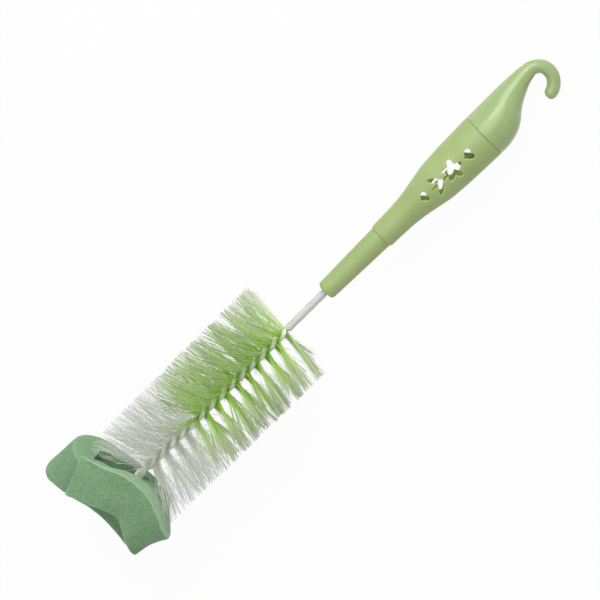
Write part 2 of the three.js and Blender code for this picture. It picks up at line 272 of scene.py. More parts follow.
class Finish:
    """A node material with short calls for the nodes that the finishes share."""

    def __init__(self, name):
        self.material = bpy.data.materials.new(name)
        self.material.use_nodes = True
        self.tree = self.material.node_tree
        self.shader = self.tree.nodes["Principled BSDF"]
        self.output = self.tree.nodes["Material Output"]
        self.where = self.tree.nodes.new("ShaderNodeTexCoord").outputs["Object"]

    def node(self, kind, **values):
        made = self.tree.nodes.new(kind)
        for key, value in values.items():
            setattr(made, key, value)
        return made

    def link(self, source, target):
        self.tree.links.new(source, target)

    def set(self, **values):
        for key, value in values.items():
            self.shader.inputs[key.replace("_", " ")].default_value = value

    def noise(self, scale, detail=2.0, stretch=None):
        made = self.node("ShaderNodeTexNoise")
        made.inputs["Scale"].default_value = scale
        made.inputs["Detail"].default_value = detail
        source = self.where
        if stretch:
            mapping = self.node("ShaderNodeMapping")
            mapping.inputs["Scale"].default_value = stretch
            self.link(source, mapping.inputs["Vector"])
            source = mapping.outputs["Vector"]
        self.link(source, made.inputs["Vector"])
        return made.outputs["Fac"]

    def pores(self, scale):
        made = self.node("ShaderNodeTexVoronoi")
        made.inputs["Scale"].default_value = scale
        self.link(self.where, made.inputs["Vector"])
        return made.outputs["Distance"]

    def attribute(self, name):
        return self.node("ShaderNodeAttribute", attribute_name=name).outputs["Fac"]

    def ramp(self, source, stops):
        made = self.node("ShaderNodeValToRGB")
        marks = made.color_ramp.elements
        while len(marks) < len(stops):
            marks.new(0.5)
        for stop, (at, code) in zip(marks, stops):
            stop.position = at
            stop.color = colour(code)
        self.link(source, made.inputs["Fac"])
        return made.outputs["Color"]

    def cloudy(self, source, dark, light):
        """A colour that drifts between two near tones."""
        return self.ramp(source, [(NOISE_LOW, dark), (NOISE_HIGH, light)])

    def span(self, source, low, high):
        made = self.node("ShaderNodeMapRange")
        made.inputs["From Min"].default_value = NOISE_LOW
        made.inputs["From Max"].default_value = NOISE_HIGH
        made.inputs["To Min"].default_value = low
        made.inputs["To Max"].default_value = high
        self.link(source, made.inputs["Value"])
        return made.outputs["Result"]

    def darken(self, base, share, amount=1.0):
        made = self.node("ShaderNodeMixRGB", blend_type="MULTIPLY")
        made.inputs["Fac"].default_value = amount
        self.link(base, made.inputs["Color1"])
        self.link(share, made.inputs["Color2"])
        return made.outputs["Color"]

    def blend(self, share, first, second):
        made = self.node("ShaderNodeMixRGB")
        self.link(share, made.inputs["Fac"])
        self.link(first, made.inputs["Color1"])
        self.link(second, made.inputs["Color2"])
        return made.outputs["Color"]

    def surface(self, base, grain, smooth, rough):
        """The base colour, and a roughness that follows the grain."""
        self.link(base, self.shader.inputs["Base Color"])
        self.link(self.span(grain, smooth, rough), self.shader.inputs["Roughness"])

    def bump(self, height, strength, distance):
        made = self.node("ShaderNodeBump")
        made.inputs["Strength"].default_value = strength
        made.inputs["Distance"].default_value = distance
        self.link(height, made.inputs["Height"])
        self.link(made.outputs["Normal"], self.shader.inputs["Normal"])


def gloss_plastic():
    finish = Finish("gloss_plastic")
    base = finish.cloudy(finish.noise(scale=45), "9bb276", "a2b97d")
    finish.surface(base, finish.noise(scale=500, detail=3), smooth=0.2, rough=0.27)
    finish.bump(finish.noise(scale=900), strength=0.05, distance=0.04 * MM)
    finish.set(Subsurface_Weight=0.3, Subsurface_Scale=2 * MM, Subsurface_Radius=(0.7, 1.0, 0.45))
    return finish.material


def satin_plastic():
    """Satin on the outside; the hollow and the cut walls get a paler copy of its colour, painted light
    for the light that the thin wall lets in.
    """
    finish = Finish("satin_plastic")
    cloud = finish.noise(scale=40)
    outside = finish.cloudy(cloud, "9cb070", "a4b778")
    # Painted light: a paler copy of the satin colour, for the faces of the hollow and the cuts
    painted_light_inside = finish.cloudy(cloud, "eaf6ba", "f0fbc2")
    base = finish.blend(finish.attribute("painted_light_inside"), outside, painted_light_inside)
    finish.surface(base, finish.noise(scale=900, detail=4), smooth=0.46, rough=0.58)
    finish.bump(finish.noise(scale=2600, detail=3), strength=0.3, distance=0.08 * MM)
    finish.set(Subsurface_Weight=0.6, Subsurface_Scale=3 * MM, Subsurface_Radius=(1.0, 1.0, 0.5))
    return finish.material


def white_plastic(name, dark, light):
    finish = Finish(name)
    base = finish.cloudy(finish.noise(scale=160), dark, light)
    finish.surface(base, finish.noise(scale=900), smooth=0.36, rough=0.48)
    finish.bump(finish.noise(scale=2200), strength=0.2, distance=0.06 * MM)
    return finish.material


def drawn_steel():
    finish = Finish("drawn_steel")
    streaks = finish.noise(scale=900, detail=4, stretch=(0.06, 1.0, 1.0))
    finish.surface(finish.cloudy(streaks, "a9acb0", "c6c9cc"), streaks, smooth=0.24, rough=0.4)
    finish.bump(streaks, strength=0.15, distance=0.05 * MM)
    finish.set(Metallic=1.0)
    return finish.material


FIBRE_GLOW = 0.12
DARK_FIBRES = 0.1
DARK_FADE = 0.02
GREEN_STOPS = [(0.0, "c8fc34"), (0.25, "d6fe74"), (0.6, "def8ac"), (1.0, "d6e0c4")]
WHITE_STOPS = [(0.0, "f6faf0"), (0.5, "f4f7f0"), (1.0, "e2e5e0")]


def fibre(name, stops, dark, clear):
    """Translucent filament, coloured from root to tip and a little different from one to the next."""
    finish = Finish(name)
    light = DARK_FIBRES + DARK_FADE
    tones = [(0.0, dark), (DARK_FIBRES, dark), (light, "f2f2ee"), (1.0, "ffffff")]
    base = finish.ramp(finish.attribute("along"), stops)
    base = finish.darken(base, finish.ramp(finish.attribute("tone"), tones))
    finish.surface(base, finish.noise(scale=2500), smooth=0.32, rough=0.5)
    finish.set(Specular_IOR_Level=0.25)
    glow = finish.node("ShaderNodeBsdfTranslucent")
    finish.link(base, glow.inputs["Color"])
    through = finish.node("ShaderNodeBsdfTransparent")
    lit = mix_shaders(finish.tree, FIBRE_GLOW, finish.shader.outputs["BSDF"], glow.outputs["BSDF"])
    glassy = mix_shaders(finish.tree, clear, lit, through.outputs["BSDF"])
    finish.link(glassy, finish.output.inputs["Surface"])
    return finish.material


def foam():
    """Open-cell foam: the broad faces show their cells; the cut sides have finer cells and a paler
    colour, which is painted light as on a lit side.
    """
    finish = Finish("foam")
    fine = finish.pores(scale=1350)
    coarse = finish.pores(scale=620)
    broad = finish.cloudy(finish.noise(scale=60, detail=4), "789c75", "86a982")
    broad = finish.darken(broad, finish.ramp(fine, [(0.0, "8ca288"), (0.5, "ffffff")]), amount=0.75)
    broad = finish.darken(broad, finish.ramp(coarse, [(0.0, "a2b29f"), (0.35, "ffffff")]), amount=0.45)
    # Painted light: the cut sides get a paler colour, with finer cells
    side = finish.cloudy(finish.noise(scale=90, detail=4), "9dba99", "a9c5a5")
    side = finish.darken(side, finish.ramp(fine, [(0.0, "b4c2b1"), (0.4, "ffffff")]), amount=0.7)
    base = finish.blend(finish.attribute("side"), broad, side)
    finish.surface(base, finish.noise(scale=800), smooth=0.85, rough=1.0)
    finish.bump(fine, strength=0.4, distance=0.3 * MM)
    finish.set(Specular_IOR_Level=0.2, Subsurface_Weight=0.35, Subsurface_Scale=4 * MM)
    finish.set(Subsurface_Radius=(0.7, 1.0, 0.7))
    return finish.material


# Hook cap: base with a hollow spigot, narrowing into a bent rod

# A mark has x and y, and the half width and half depth as shares of the handle's end or of the rod
CAP_MARKS = [
    (0, 0, 1.0, 1.0), (4.3, 0.05, 1.0, 1.0), (8.6, 0.4, 0.97, 0.98), (12.5, 1.05, 0.915, 0.93),
    (16.2, 2.1, 0.825, 0.855), (19, 3.3, 0.725, 0.765), (21.6, 4.3, 0.635, 0.68),
    (24.5, 5.2, 0.55, 0.59), (27.6, 5.95, 0.475, 0.51), (31.2, 6.7, 0.395, 0.42),
    (34.8, 7.0, 0.335, 0.343),
]
ROD_MARKS = [
    (37.6, 6.8, 1.08, 1.1), (40.2, 5.3, 1.0, 1.02), (41.9, 3.0, 1.0, 1.0), (42.35, 0.2, 1.0, 1.0),
    (41.8, -2.7, 1.0, 1.0), (39.9, -5.4, 1.0, 1.0), (37.6, -7.1, 1.0, 1.0), (35.4, -7.8, 0.95, 0.95),
    (34.1, -8.0, 0.78, 0.78), (33.3, -8.05, 0.45, 0.45), (33.05, -8.06, 0.12, 0.12),
]
CAP_SIDES = 64
CAP_STEPS = 5

# Edges as pairs for bevel, and the hollow's end as lengths back from it and shares of its radius
CAP_RIM = ((0, 0.35), (0.1, 0.105))
SPIGOT_MOUTH = ((0.3, 0), (0, -0.3))
SPIGOT_LEAD = ((0, 0.6), (0.2, 0.3), (0.8, 0))
SPIGOT_ROOT = ((0.2, 0), (0, -0.2))
HOLLOW_END = ((0, 0.3), (0.3, 0.58), (CAP_HOLLOW_TAPER, 1))


def cap_inside():
    """The hollow, the spigot and the rim that meets the grip, as x and radius."""
    spigot_end = CAP_START - SPIGOT_LENGTH
    rim = CAP_START - SEAM_FILL
    profile = [(CAP_START + CAP_HOLLOW - back, share * CAP_CORE_RADIUS) for back, share in HOLLOW_END]
    profile += bevel(spigot_end, CAP_CORE_RADIUS, 1, SPIGOT_MOUTH)
    profile += bevel(spigot_end, SPIGOT_RADIUS, 1, SPIGOT_LEAD)
    profile += bevel(rim, SPIGOT_RADIUS, -1, SPIGOT_ROOT)
    return profile + bevel(rim, HANDLE_END_RADIUS, 1, CAP_RIM)


def sized(marks, radius):
    """Marks with their half width and half depth in millimetres."""
    return [(x, y, wide * radius, deep * radius) for x, y, wide, deep in marks]


def hook_cap():
    rings = [circle(x, radius, CAP_SIDES) for x, radius in cap_inside()]
    rows = between(sized(CAP_MARKS, HANDLE_END_RADIUS) + sized(ROD_MARKS, ROD_RADIUS), CAP_STEPS)
    spine = [Vector((CAP_START + row[0], row[1], 0)) for row in rows]
    square_rows = CAP_STEPS * (len(CAP_MARKS) - 1)
    up = Vector((0, 0, 1))
    for k in range(1, len(rows)):
        wide, deep = rows[k][2:]
        bend = (spine[min(k + 1, len(spine) - 1)] - spine[k - 1]).normalized()
        along = Vector((1, 0, 0)) if k <= square_rows else bend
        rings.append(oval(spine[k], up.cross(along) * wide, up * deep, CAP_SIDES))
    return add_mesh("cap", *skin(rings))


# Handle body: flared tube with pierced hearts and a flower

# A mark has its shares of the way along the handle and from the neck's radius to the end's
HANDLE_MARKS = [
    (0, 0), (0.1, 0.03), (0.19, 0.076), (0.27, 0.16), (0.34, 0.286), (0.44, 0.53), (0.54, 0.762),
    (0.63, 0.85), (0.72, 0.914), (0.86, 0.965), (1, 1),
]
HANDLE_SIDES = 96
HANDLE_STEPS = 6
INNER_EVERY = 3
SHOULDER_ROOM = 1.0
HANDLE_NECK_EDGE = ((0, 0.3), (0.1, 0.1), (0.35, 0))
HANDLE_END_EDGE = ((0.25, 0), (0.07, 0.07), (0, 0.25))
CUT_REACH = 18.0
# Faces that get the inner painted light: this far from the grip's ends, with a normal that points
# outward by less than this share
INSIDE_MARGIN = 1.0
INSIDE_FACING = 0.4

# Ornaments: places as shares of the handle's length, sizes in millimetres
HEARTS = ((0.84, 5.8), (0.415, 5.2))
HEART_POINTS = 60
HEART_UNITS = 32
FLOWER_SHARE = 0.69
FLOWER_REACH = 4.25
FLOWER_POINTS = 100
PETAL_DEPTH = 1.2
PETALS = 5
FLOWER_STEM_DROP = 8.0
FLOWER_STEM_LENGTH = 12.06
FLOWER_STEM_WIDTH = 1.6
LEAF_DROP = 10.0
LEAF_ASIDE = 2.6
LEAF_LENGTH = 6.4
LEAF_WIDTH = 2.6
LEAF_TURN = 0.75
LEAF_POINTS = 36


def handle_profile():
    outer = []
    for share, value in between(HANDLE_MARKS, HANDLE_STEPS):
        radius = HANDLE_NECK_RADIUS + (HANDLE_END_RADIUS - HANDLE_NECK_RADIUS) * value
        outer.append((HANDLE_START + HANDLE_LENGTH * share, radius))
    inner = []
    for x, radius in reversed(outer[::INNER_EVERY]):
        if x > SHOULDER + SHOULDER_ROOM:
            inner.append((x, max(CLIP_ROOM_RADIUS, radius - HANDLE_WALL)))
    start = HANDLE_START - SEAM_FILL
    neck = bevel(start, HANDLE_NECK_RADIUS, 1, HANDLE_NECK_EDGE)
    rim = bevel(HANDLE_END + SEAM_FILL, HANDLE_END_RADIUS, -1, HANDLE_END_EDGE)
    bore = [(SHOULDER, CLIP_ROOM_RADIUS), (SHOULDER, BEARING_RADIUS), (start, BEARING_RADIUS)]
    return neck + outer[1:-1] + rim + inner + bore


def heart_outline(x, width):
    """The usual heart curve, which is 32 units wide."""
    outline = []
    for t in full_turn(HEART_POINTS):
        along = 13 * math.cos(t) - 5 * math.cos(2 * t) - 2 * math.cos(3 * t) - math.cos(4 * t)
        across = 16 * math.sin(t) ** 3
        outline.append((x + along * width / HEART_UNITS, across * width / HEART_UNITS))
    return outline


def leaf_outline(x, y, length, width, turn):
    outline = []
    for t in full_turn(LEAF_POINTS):
        a = length / 2 * math.cos(t)
        b = width / 2 * math.sin(t)
        across = a * math.sin(turn) + b * math.cos(turn)
        outline.append((x + a * math.cos(turn) - b * math.sin(turn), y + across))
    return outline


def flower_outline(x):
    outline = []
    for t in full_turn(FLOWER_POINTS):
        reach = FLOWER_REACH + PETAL_DEPTH * math.cos(PETALS * t)
        outline.append((x + reach * math.cos(t), reach * math.sin(t)))
    return outline


def ornaments():
    """Outlines of the hearts, the flower, its stem and its two leaves."""
    outlines = [heart_outline(HANDLE_START + share * HANDLE_LENGTH, width) for share, width in HEARTS]
    flower = HANDLE_START + FLOWER_SHARE * HANDLE_LENGTH
    outlines.append(flower_outline(flower))
    outlines.append(leaf_outline(flower - FLOWER_STEM_DROP, 0, FLOWER_STEM_LENGTH, FLOWER_STEM_WIDTH, 0))
    for side in (-1, 1):
        aside, turn = side * LEAF_ASIDE, -side * LEAF_TURN
        outlines.append(leaf_outline(flower - LEAF_DROP, aside, LEAF_LENGTH, LEAF_WIDTH, turn))
    return outlines


def cut_through(piece, outlines):
    """Pierces both walls along the brush's z axis."""
    cutters = []
    for outline in outlines:
        rings = [[Vector((x, y, z)) for x, y in outline] for z in (-CUT_REACH, CUT_REACH)]
        cutter = add_mesh("cutter", *skin(rings))
        step = piece.modifiers.new("cut", "BOOLEAN")
        step.operation = "DIFFERENCE"
        step.solver = "EXACT"
        step.object = cutter
        cutters.append(cutter)
    graph = bpy.context.evaluated_depsgraph_get()
    cut = bpy.data.meshes.new_from_object(piece.evaluated_get(graph))
    piece.modifiers.clear()
    piece.data = cut
    for cutter in cutters:
        bpy.data.objects.remove(cutter)


def mark_painted_light_inside(piece):
    """Marks the faces of the hollow and of the cuts, which get the painted light that stands for light
    through the thin wall.
    """
    values = []
    for face in piece.data.polygons:
        away = face.center - sleeve_end
        along = away.dot(brush_x)
        away -= brush_x * along
        within = HANDLE_START + INSIDE_MARGIN < along / MM < HANDLE_END - INSIDE_MARGIN
        inward = face.normal.dot(away.normalized()) < INSIDE_FACING
        values.append(1.0 if within and inward else 0.0)
    mark(piece, "painted_light_inside", "FACE", values)


def handle_body():
    rings = [circle(x, radius, HANDLE_SIDES) for x, radius in handle_profile()]
    piece = add_mesh("grip", *skin(rings, loop=True))
    cut_through(piece, ornaments())
    mark_painted_light_inside(piece)
    return piece


# Stem sleeve, with its journal inside the handle
SLEEVE_SIDES = 64
SLEEVE_EDGE_STEPS = 8
SLEEVE_RING = 6
SLEEVE_MOUTH = ((0.25, 0), (0, -0.25))
SLEEVE_TOP_EDGE = ((0.25, 0), (0.06, 0.07), (0, 0.25))
JOURNAL_EDGE = ((0.5, 0), (0, 0.6))
JOURNAL_FACE = 0.3
WIRE_ROOM = 2.0
WIRE_BORE_FACE = 0.4
GROOVE_ROOM = 0.2


def sleeve_bores():
    """The wires' bore and the wider one that the sheath sits in."""
    wire_end = WIRE_INSET + WIRE_ROOM
    sheath_end = SHEATH_INSET + SEAM_GAP
    profile = [(wire_end, WIRE_BORE_FACE * WIRE_BORE), (wire_end, WIRE_BORE), (sheath_end, WIRE_BORE)]
    profile.append((sheath_end, SHEATH_BORE))
    return profile + bevel(0, SHEATH_BORE, 1, SLEEVE_MOUTH)


def sleeve_outside():
    """The round tip, the slow taper and the edge at the handle."""
    profile = []
    for k in range(SLEEVE_EDGE_STEPS + 1):
        turn = math.pi / 2 * k / SLEEVE_EDGE_STEPS
        radius = SLEEVE_TIP_RADIUS - SLEEVE_EDGE * (1 - math.sin(turn))
        profile.append((SLEEVE_EDGE * (1 - math.cos(turn)), radius))
    rise = (SLEEVE_TOP_RADIUS - SLEEVE_TIP_RADIUS) / SLEEVE_LENGTH
    for x in range(SLEEVE_RING, int(SLEEVE_LENGTH), SLEEVE_RING):
        profile.append((x, SLEEVE_TIP_RADIUS + rise * x))
    return profile + bevel(SLEEVE_LENGTH + SEAM_FILL, SLEEVE_TOP_RADIUS, -1, SLEEVE_TOP_EDGE)


def journal():
    groove_start = CLIP_START - GROOVE_ROOM
    groove_end = CLIP_END + GROOVE_ROOM
    profile = [
        (SLEEVE_LENGTH + SEAM_FILL, JOURNAL_RADIUS), (groove_start, JOURNAL_RADIUS),
        (groove_start, GROOVE_RADIUS), (groove_end, GROOVE_RADIUS), (groove_end, JOURNAL_RADIUS),
    ]
    profile += bevel(JOURNAL_END, JOURNAL_RADIUS, -1, JOURNAL_EDGE)
    return profile + [(JOURNAL_END, JOURNAL_FACE * JOURNAL_RADIUS)]


def stem_sleeve():
    profile = sleeve_bores() + sleeve_outside() + journal()
    return add_mesh("sleeve", *skin([circle(x, radius, SLEEVE_SIDES) for x, radius in profile]))


# White sheath and the two wires, twisted together to the left
SHEATH_STEPS = 136
SHEATH_SIDES = 40
SHEATH_SWELL = 0.07
SHEATH_EDGE = 0.12
WIRE_STEPS = 420
WIRE_SIDES = 14
COAT_SWELL = 0.3


def twist(x):
    return -2 * math.pi * x / TWIST_PITCH


def outward(x):
    return Vector((0, math.cos(twist(x)), math.sin(twist(x))))


def sidelong(x):
    return Vector((0, -math.sin(twist(x)), math.cos(twist(x))))


def stem_sheath():
    """A shrunk sleeve whose skin follows the twisted wires a little."""
    rings = []
    for k in range(SHEATH_STEPS + 1):
        x = SHEATH_INSET - (SHEATH_INSET + SHEATH_LENGTH) * k / SHEATH_STEPS
        edge = SHEATH_EDGE if k in (0, SHEATH_STEPS) else 0.0
        ring = []
        for angle in full_turn(SHEATH_SIDES):
            wave = math.cos(2 * (angle - twist(x) - math.pi / 2))
            radius = SHEATH_RADIUS - edge + SHEATH_SWELL * (wave - 1)
            ring.append(Vector((x, radius * math.cos(angle), radius * math.sin(angle))))
        rings.append(ring)
    for x in (-SHEATH_LENGTH, SHEATH_INSET):
        rings.append(circle(x, SHEATH_RADIUS - SHEATH_WALL, SHEATH_SIDES))
    return add_mesh("sheath", *skin(rings, loop=True))


def wire_strand(name, side):
    """One of the two twisted wires: bare in the sleeve and the sheath, coated beyond."""
    rings = []
    for k in range(WIRE_STEPS + 1):
        x = WIRE_INSET + (WIRE_END - WIRE_INSET) * k / WIRE_STEPS
        coat = clamped((GREEN_START - x) / COAT_RAMP)
        radius = WIRE_RADIUS + (COAT_RADIUS + COAT_SWELL - WIRE_RADIUS) * coat
        offset = WIRE_OFFSET + (COAT_OFFSET - WIRE_OFFSET) * coat
        centre = sidelong(x) * side * offset
        centre.x = x
        along = Vector((1, 0, 0)) + outward(x) * side * offset * 2 * math.pi / TWIST_PITCH
        across = along.normalized().cross(sidelong(x))
        rings.append(oval(centre, sidelong(x) * radius, across * radius, WIRE_SIDES))
    return add_mesh(name, *skin(rings))


# Bristles: fine filaments from the twisted core, in a left-handed double row of small tufts

# Each part of a filament has its share of the length and of the radius
GREEN_ZONE = {
    "parts": ((0.03, 0.75), (0.35, 0.85), (0.7, 1.1), (1.0, 1.2)),
    "lean_spread": 0.045, "turn_spread": 0.05, "strays": 0.2, "seed": 11,
}
WHITE_ZONE = {
    "parts": ((0.03, 0.5), (0.35, 0.72), (0.7, 1.1), (1.0, 1.2)),
    "lean_spread": 0.13, "turn_spread": 0.16, "strays": 0.0, "seed": 12,
}
ZONE_MARGIN = 0.2
ROOTS_PAST_WHITE = 2.5
LAST_ROOT = WHITE_END - ROOTS_PAST_WHITE
FIBRE_RADIUS = 0.12
FIBRE_SIDES = 3
FIBRE_STEP = 0.045
FIBRE_CURL = 0.05
FIBRE_SHORTER = 0.25
FIBRES_IN_TUFT = 15
TUFT_LEAN = 0.035
TUFT_TURN = 0.04
TUFT_SHORTER = 0.4
STRAY_LEAN = 0.1

# Lean to the tip in radians; the last roots splay on one side and stand more upright on the other
FIRST_LEAN = 0.1
LAST_LEAN = 0.2
ROOT_DRIFT = 0.8
END_SHARE = 0.88
END_SPLAY = 0.4
END_UPRIGHT = 0.05

# The filaments on top part and fall aside, and those over the foam are combed round one way
TOP_COMB = 0.32
COMB_POWER = 4
PARTING = -0.1
END_COMB = 1.2

# The first green roots are paler, over this length
PALE_LENGTH = 6.0
PALE_SHARE = 0.6


def fibre_lean(root, away):
    """Every filament leans to the tip, the last ones more on the one side and less on the other."""
    share = (GREEN_START - root) / (GREEN_START - LAST_ROOT)
    near_end = max(0.0, share - END_SHARE) / (1 - END_SHARE)
    splay = END_SPLAY * max(0.0, -away.y) - END_UPRIGHT * max(0.0, away.y)
    return FIRST_LEAN + (LAST_LEAN - FIRST_LEAN) * share + splay * near_end


def fibre_comb(root, away):
    """How far a filament is combed round the brush's axis, in radians."""
    last = max(0.0, (WHITE_END - root) / (WHITE_END - LAST_ROOT))
    fall = 1 if away.y > PARTING else -1
    on_top = fall * TOP_COMB * max(0.0, away.z) ** COMB_POWER
    return on_top * (1 - last) + END_COMB * abs(away.z) * last


def add_fibre(points, faces, along, parts, root, turn, lean, curl, length):
    first = len(points)
    pale = PALE_SHARE * max(0.0, 1 - (GREEN_START - root) / PALE_LENGTH)
    for part, (reach, thick) in enumerate(parts):
        far = reach * length
        angle = turn + curl * reach
        away = Vector((0, math.cos(angle), math.sin(angle)))
        centre = away * far
        centre.x = root - far * math.tan(lean) * (ROOT_DRIFT + (1 - ROOT_DRIFT) * reach)
        size = FIBRE_RADIUS * thick
        points += oval(centre, Vector((size, 0, 0)), Vector((0, -away.z, away.y)) * size, FIBRE_SIDES)
        along += [reach + (1 - reach) * pale] * FIBRE_SIDES
        if part:
            end = first + FIBRE_SIDES * part
            faces += band(end - FIBRE_SIDES, end, FIBRE_SIDES)
    faces.append(tuple(reversed(range(first, first + FIBRE_SIDES))))
    faces.append(tuple(range(len(points) - FIBRE_SIDES, len(points))))


def bristle_zone(name, start, end, parts, lean_spread, turn_spread, strays, seed):
    draw = random.Random(seed)
    points, faces, along, tone = [], [], [], []
    for side in (0.0, math.pi):
        for k in range(int((start - end - 2 * ZONE_MARGIN) / FIBRE_STEP)):
            if k % FIBRES_IN_TUFT == 0:
                stray = STRAY_LEAN if draw.random() < strays else 0.0
                tuft_lean = draw.gauss(0, TUFT_LEAN + stray)
                tuft_turn = draw.gauss(0, TUFT_TURN)
                tuft_length = BRISTLE_RADIUS - abs(draw.gauss(0, TUFT_SHORTER))
            root = start - ZONE_MARGIN - k * FIBRE_STEP
            turn = side + twist(root) + tuft_turn + draw.gauss(0, turn_spread)
            away = Vector((0, math.cos(turn), math.sin(turn)))
            curl = draw.gauss(0, FIBRE_CURL) - fibre_comb(root, away)
            lean = fibre_lean(root, away) + tuft_lean + draw.gauss(0, lean_spread)
            length = tuft_length - abs(draw.gauss(0, FIBRE_SHORTER))
            add_fibre(points, faces, along, parts, root, turn, lean, curl, length)
            tone += [draw.random()] * (len(points) - len(tone))
    piece = add_mesh(name, points, faces)
    mark(piece, "along", "POINT", along)
    mark(piece, "tone", "POINT", tone)
    return piece


# Foam strip in three layers, with a fold at each side

# A layer's row has y and z as shares of the spread and of the fold's radius, the shift to the hook as
# a share of the width, lean and roll in degrees, and its share of the width
FOAM_REAR = [
    (-0.6, -2.49, 0.2, 3, 0, 1), (-0.2, -2.5, 0.185, 1, 0, 1),
    (0.15, -2.5, 0.16, -1, 0, 1), (0.48, -2.5, 0.117, -5, 0, 1),
]
FOAM_CORE = [
    (0.5, -0.24, -0.127, -11, 0, 1), (0.215, -0.073, -0.054, -6, 0, 1),
    (-0.048, 0.024, -0.02, -4, 0, 1), (-0.335, 0.085, -0.024, -5, 0, 1),
]
FOAM_FRONT = [
    (-0.421, 2.159, 0.459, -13, 0, 1), (-0.12, 2.146, 0.488, -9, 0, 1),
    (0.215, 2.073, 0.38, -1, 0, 0.99), (0.6, 1.951, 0.156, 8, 0, 0.95),
    (1.12, 1.707, -0.09, 17, 0, 0.98),
]

# A fold's rows go round half a turn, each with its shift, lean and roll
FOAM_LEFT = [
    (0.049, -10, 0), (-0.024, -15, 0), (-0.112, -20, 0), (-0.195, -24, 0), (-0.254, -25, 0),
    (-0.273, -23, 0), (-0.244, -19, 0),
]
FOAM_RIGHT = [
    (-0.059, -8, 0), (-0.073, -9, 3), (-0.063, -10, 8), (-0.024, -11, 13), (0.059, -12, 17),
    (0.185, -13, 18), (0.332, -14, 14),
]
LEFT_Z = -1.488
RIGHT_Y = -0.689
RIGHT_Z = 1.122

# The left fold is fuller and drawn to the tip, and the middle layer reaches to the hook:
# how far each goes, the row where it is most and how many rows it spreads over
LEFT_FULL = 4.0
LEFT_FULL_ROW = len(FOAM_REAR) + (len(FOAM_LEFT) - 1) / 2
LEFT_FULL_SPREAD = 2
LEFT_POINT = 0.42
LEFT_POINT_ROW = LEFT_FULL_ROW + 0.4
LEFT_POINT_SPREAD = 1
CORE_POINT = 1.1
CORE_POINT_ROW = len(FOAM_REAR) + len(FOAM_LEFT) + len(FOAM_CORE)
CORE_POINT_SPREAD = 2

FOAM_SHARP_ANGLE = 60.0
FOAM_STEPS = 15
FOAM_EDGE = 0.9
FOAM_ENDS = (0.97, 0.9, 0.75, 0.6, 0.45, 0.3, 0.15)
CORNERS = ((1, 1), (-1, 1), (-1, -1), (1, -1))
CORNER_STEPS = 4
STRAIGHT_STEPS = (42, 18, 42, 18)

# Painted light on the cut sides: half as strong on the rear layer and the left fold, as painted shade
# behind the front layer, and full on the front
REAR_END = 0.4
FRONT_START = 0.65
REAR_SIDE_LIGHT = 0.5
SIDE_START = 0.6

# Swells of the skin, as height in millimetres and waves to a millimetre, and its pores
SWELLS = ((0.25, 0.11), (0.12, 0.45))
PORE_SPACING = 1.0
PORE_REACH = 0.55
PORE_DEPTH = 0.26
SIDE_FILLED = 0.6


def foam_fold(middle_y, middle_z, side, rows):
    """Rows round a half turn of the strip."""
    fold = []
    for k, (shift, lean, roll) in enumerate(rows):
        angle = math.pi * (k / (len(rows) - 1) - 0.5)
        y = middle_y + side * FOLD_RADIUS * math.cos(angle)
        fold.append((y, middle_z + FOLD_RADIUS * math.sin(angle), shift, lean, roll, 1))
    return fold


def foam_layer(rows):
    """A layer's rows with y and z in millimetres."""
    return [(row[0] * FOAM_SPREAD, row[1] * FOLD_RADIUS) + row[2:] for row in rows]


def foam_rows():
    """The strip's middle line from its rear end to its front end."""
    rows = foam_layer(FOAM_REAR)
    rows += foam_fold(FOAM_SPREAD - LEFT_FULL, LEFT_Z * FOLD_RADIUS, 1, FOAM_LEFT)
    rows += foam_layer(FOAM_CORE)
    rows += foam_fold(RIGHT_Y * FOAM_SPREAD, RIGHT_Z * FOLD_RADIUS, -1, FOAM_RIGHT)
    rows += foam_layer(FOAM_FRONT)
    return between(rows, FOAM_STEPS)


def foam_outline(width, depth, radius):
    """A rectangle with round corners, as pairs across the strip's width and thickness."""
    arcs = []
    for k, (side_a, side_b) in enumerate(CORNERS):
        a = side_a * (width / 2 - radius)
        b = side_b * (depth / 2 - radius)
        angles = [math.pi / 2 * (k + step / CORNER_STEPS) for step in range(CORNER_STEPS + 1)]
        arcs.append([(a + radius * math.cos(t), b + radius * math.sin(t)) for t in angles])
    outline = []
    for arc, following, steps in zip(arcs, arcs[1:] + arcs[:1], STRAIGHT_STEPS):
        outline += arc
        (a, b), (next_a, next_b) = arc[-1], following[0]
        for step in range(1, steps):
            t = step / steps
            outline.append((a + (next_a - a) * t, b + (next_b - b) * t))
    return outline


def hump(row, middle, spread):
    """1 at the middle row, falling away smoothly before and after it."""
    return math.exp(-((row - middle) / spread) ** 2)


def foam_rings():
    rows = foam_rows()
    spine = [Vector((FOAM_MIDDLE + row[2] * FOAM_WIDTH, row[0], row[1])) for row in rows]
    rings = []
    for k, middle in enumerate(spine):
        lean, roll, share = rows[k][3:]
        along = (spine[min(k + 1, len(spine) - 1)] - spine[max(k - 1, 0)]).normalized()
        tilt, turn = math.radians(lean), math.radians(roll)
        level = math.cos(turn)
        wide = Vector((level * math.cos(tilt), -math.sin(turn), -level * math.sin(tilt)))
        wide = (wide - along * wide.dot(along)).normalized()
        thick = wide.cross(along)
        row = k / FOAM_STEPS
        to_tip = 1 + LEFT_POINT * hump(row, LEFT_POINT_ROW, LEFT_POINT_SPREAD)
        to_hook = 1 + CORE_POINT * hump(row, CORE_POINT_ROW, CORE_POINT_SPREAD)
        fuller = 2 * LEFT_FULL / FOAM_THICKNESS
        full = 1 + fuller * hump(row, LEFT_FULL_ROW, LEFT_FULL_SPREAD)
        ring = []
        for a, b in foam_outline(share * FOAM_WIDTH, FOAM_THICKNESS, FOAM_EDGE):
            point = middle + wide * a * (to_hook if a > 0 else to_tip)
            ring.append(point + thick * b * (full if b < 0 else 1))
        rings.append(ring)
    ends = []
    for ring in (rings[0], rings[-1]):
        centre = sum(ring, Vector()) / len(ring)
        ends.append([[centre + (p - centre) * size for p in ring] for size in FOAM_ENDS])
    return ends[0][::-1] + rings + ends[1]


